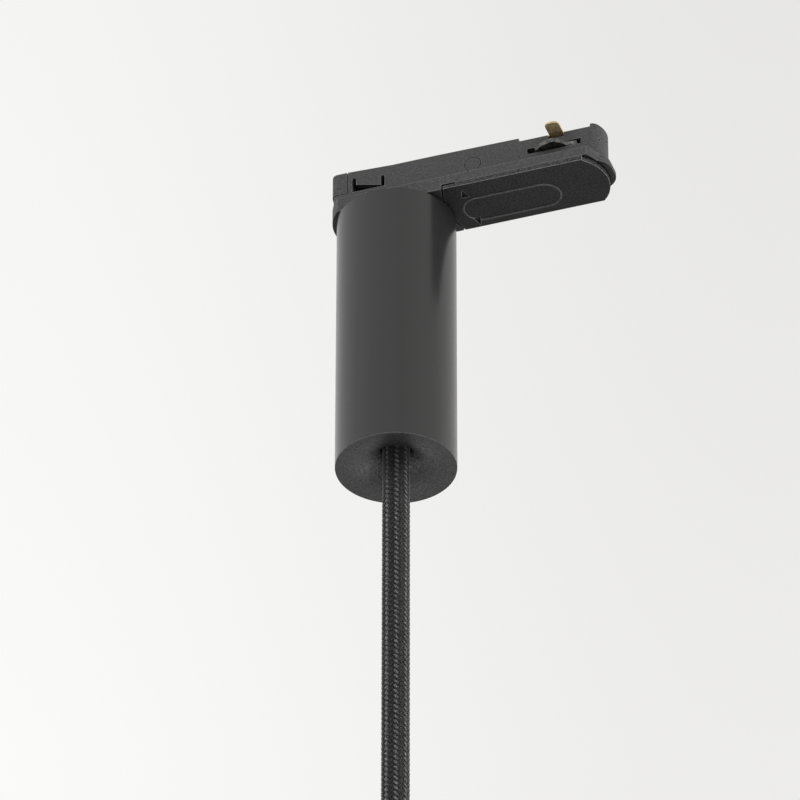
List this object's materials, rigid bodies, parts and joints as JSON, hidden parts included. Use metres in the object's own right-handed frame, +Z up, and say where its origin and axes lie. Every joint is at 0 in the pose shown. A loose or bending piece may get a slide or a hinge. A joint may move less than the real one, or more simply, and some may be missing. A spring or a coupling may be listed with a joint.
{
  "type": "track light adapter",
  "caption": "Black lighting track adapter with a swinging locking lever, a cylindrical canister with a bell mouth below, and a braided pendant cable.",
  "frame": {"origin": "on the canister axis, in the plane where the top of the flange meets the track", "axes": "+X along the adapter towards the lever end, +Z up out of the flange into the track, along the canister axis"},
  "size_m": [0.1108, 0.0452, 0.3182],
  "materials": {
    "black_plastic": "fine moulded grain",
    "lever_plastic": "fine moulded grain",
    "wing_steel": "stamped, dull",
    "zinc_steel": "zinc plated",
    "contact_brass": "stamped, dull",
    "satin_black": "satin black coat",
    "white_nylon": "natural nylon",
    "brown_insulation": "smooth insulation",
    "blue_insulation": "smooth insulation",
    "black_braid": "braided textile"
  },
  "bodies": {
    "adapter": {"adapter_body": "black_plastic", "body_cover": "black_plastic", "end_cap": "black_plastic", "line_spring": "contact_brass", "neutral_spring": "contact_brass", "line_lead": "brown_insulation", "neutral_lead": "blue_insulation", "threaded_nipple": "zinc_steel", "mounting_hub": "satin_black", "lock_washer": "zinc_steel", "hex_nut": "zinc_steel", "canister": "satin_black", "terminal_block": "white_nylon", "terminal_screws": "zinc_steel", "block_screw": "zinc_steel", "cord_grip": "white_nylon", "grip_nut": "white_nylon", "line_wire": "brown_insulation", "neutral_wire": "blue_insulation", "cable": "black_braid", "end_fitting": "satin_black"},
    "lever_group": {"lever": "lever_plastic", "rotor": "black_plastic", "locking_wing": "wing_steel", "line_contact": "contact_brass", "neutral_contact": "contact_brass", "contact_clamp": "black_plastic", "rotor_screw": "zinc_steel"}
  },
  "joints": [
    {"name": "lever_swing", "type": "hinge", "parent": "adapter", "child": "lever_group", "pos_m": [0.066, 0, 0], "axis": [0, 0, 1], "range_deg": [-90, 90]}
  ]
}
